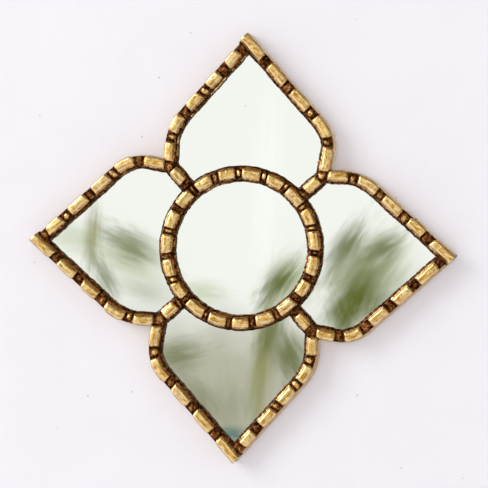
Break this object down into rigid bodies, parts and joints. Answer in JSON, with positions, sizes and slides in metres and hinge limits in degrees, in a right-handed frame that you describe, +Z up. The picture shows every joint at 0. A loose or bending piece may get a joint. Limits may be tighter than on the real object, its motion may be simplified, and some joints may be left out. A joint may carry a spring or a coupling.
{
  "type": "wall mirror",
  "caption": "Flower-shaped wall mirror: pointed petal panes round a circular pane, framed in carved and gilded wood rails, on a hardboard back with a swinging ring hanger.",
  "frame": {"origin": "on the wall plane that the back of the frame rests against, level with the inside top of the hanging ring, where the nail that carries the mirror comes out of the wall", "axes": "+X to the right as seen from the front, +Y from the front into the wall, +Z up"},
  "size_m": [0.2568, 0.0155, 0.2569],
  "materials": {
    "gilded_wood": "gold leaf over dark wash, satin, rubbed through in the notches",
    "mirror_glass": "silvered, clear",
    "hardboard": "bare brown hardboard",
    "plated_steel": "brassy plating, satin"
  },
  "bodies": {
    "frame": {"ring_rail": "gilded_wood", "upper_right_neck": "gilded_wood", "lower_right_neck": "gilded_wood", "lower_left_neck": "gilded_wood", "upper_left_neck": "gilded_wood", "top_petal_right_arm": "gilded_wood", "top_petal_left_arm": "gilded_wood", "right_petal_lower_arm": "gilded_wood", "right_petal_upper_arm": "gilded_wood", "bottom_petal_left_arm": "gilded_wood", "bottom_petal_right_arm": "gilded_wood", "left_petal_upper_arm": "gilded_wood", "left_petal_lower_arm": "gilded_wood", "round_pane": "mirror_glass", "top_pane": "mirror_glass", "right_pane": "mirror_glass", "bottom_pane": "mirror_glass", "left_pane": "mirror_glass", "back_panel": "hardboard", "top_petal_right_pin_1": "plated_steel", "top_petal_right_pin_2": "plated_steel", "top_petal_left_pin_1": "plated_steel", "top_petal_left_pin_2": "plated_steel", "right_petal_lower_pin_1": "plated_steel", "right_petal_lower_pin_2": "plated_steel", "right_petal_upper_pin_1": "plated_steel", "right_petal_upper_pin_2": "plated_steel", "bottom_petal_left_pin_1": "plated_steel", "bottom_petal_left_pin_2": "plated_steel", "bottom_petal_right_pin_1": "plated_steel", "bottom_petal_right_pin_2": "plated_steel", "left_petal_upper_pin_1": "plated_steel", "left_petal_upper_pin_2": "plated_steel", "left_petal_lower_pin_1": "plated_steel", "left_petal_lower_pin_2": "plated_steel", "top_tip_nail": "plated_steel", "right_tip_nail": "plated_steel", "bottom_tip_nail": "plated_steel", "left_tip_nail": "plated_steel", "hanger_strap": "plated_steel", "hanger_upper_screw": "plated_steel", "hanger_lower_screw": "plated_steel"},
    "hanging_ring": {"hanger_ring": "plated_steel"}
  },
  "joints": [
    {"name": "hanger_swing", "type": "hinge", "parent": "frame", "child": "hanging_ring", "pos_m": [0, -0.00225, -0.00925], "axis": [-1, 0, 0], "range_deg": [0, 175]}
  ]
}
